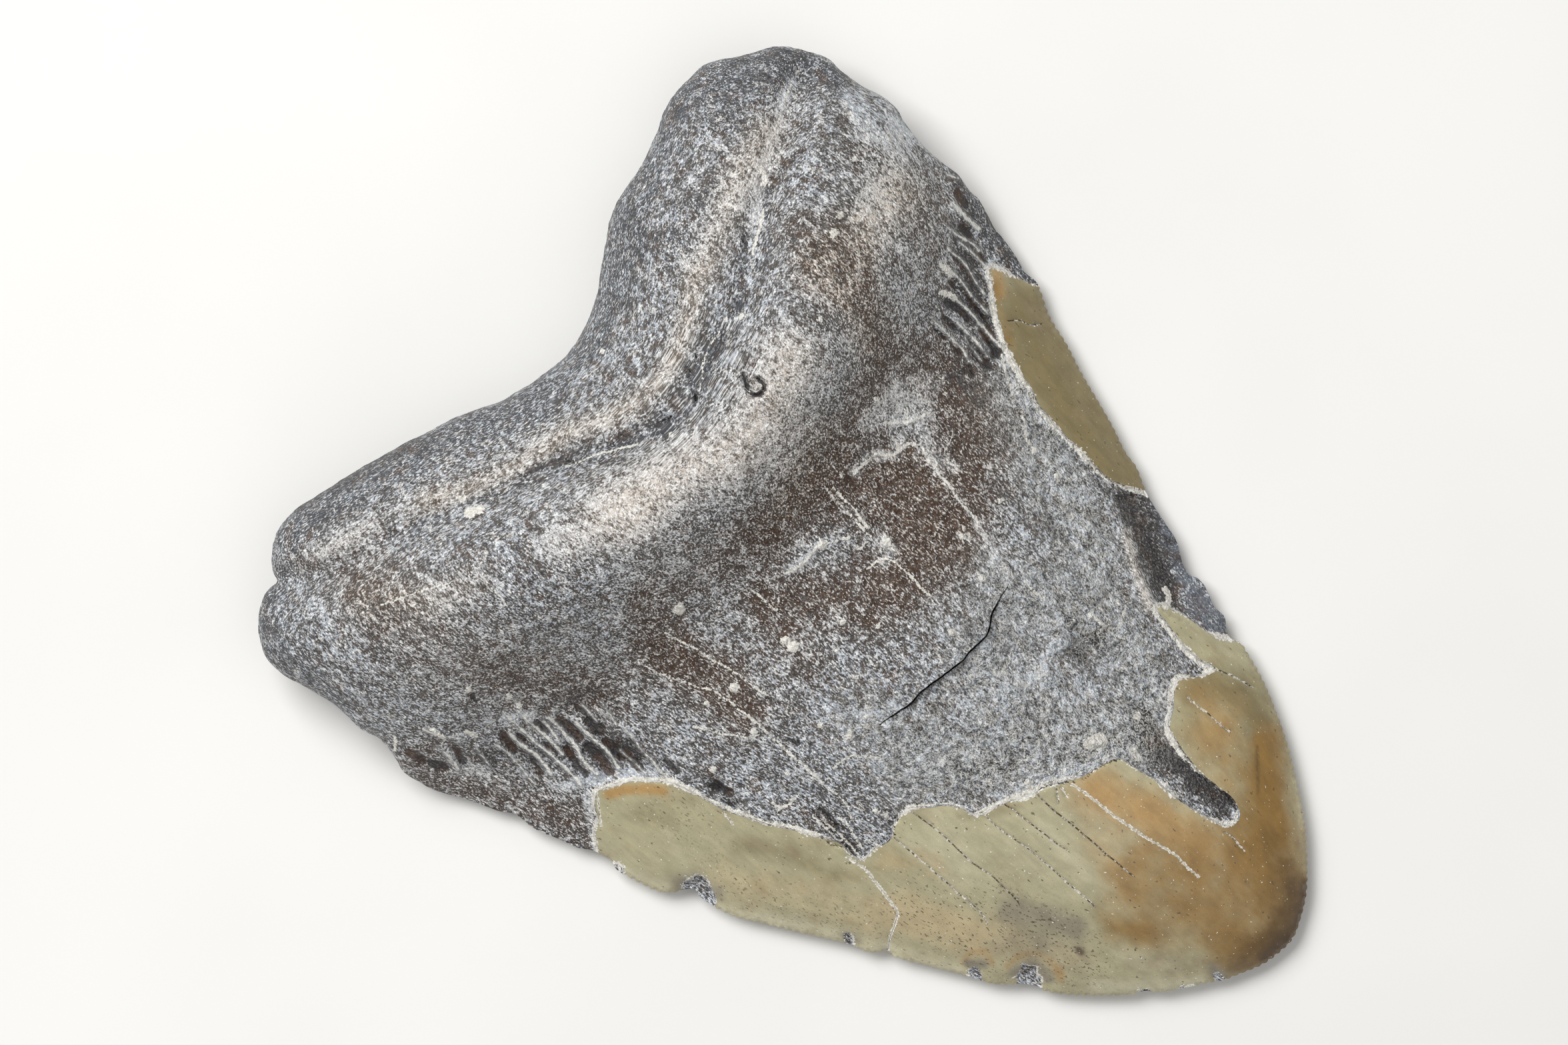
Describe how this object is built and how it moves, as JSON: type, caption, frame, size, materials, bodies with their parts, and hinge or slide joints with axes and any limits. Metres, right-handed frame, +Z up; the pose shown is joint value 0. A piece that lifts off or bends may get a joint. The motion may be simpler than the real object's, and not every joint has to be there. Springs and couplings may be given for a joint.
{
  "type": "fossil shark tooth",
  "caption": "Triangular fossil megalodon tooth with a thick two-lobed root, worn enamel along a serrated edge, and a bare stony core.",
  "frame": {"origin": "middle of the tooth's plan, on the surface it lies on", "axes": "+Y from the crown's tip to the root's lobes, +Z up out of the lingual face; the tooth lies on its labial face"},
  "size_m": [0.0968, 0.1206, 0.028],
  "materials": {
    "fossil_tooth": "rough grey-brown fossil bone and dentine with worn tan enamel of a soft gloss"
  },
  "bodies": {
    "root": {"tooth": "fossil_tooth"}
  },
  "joints": []
}
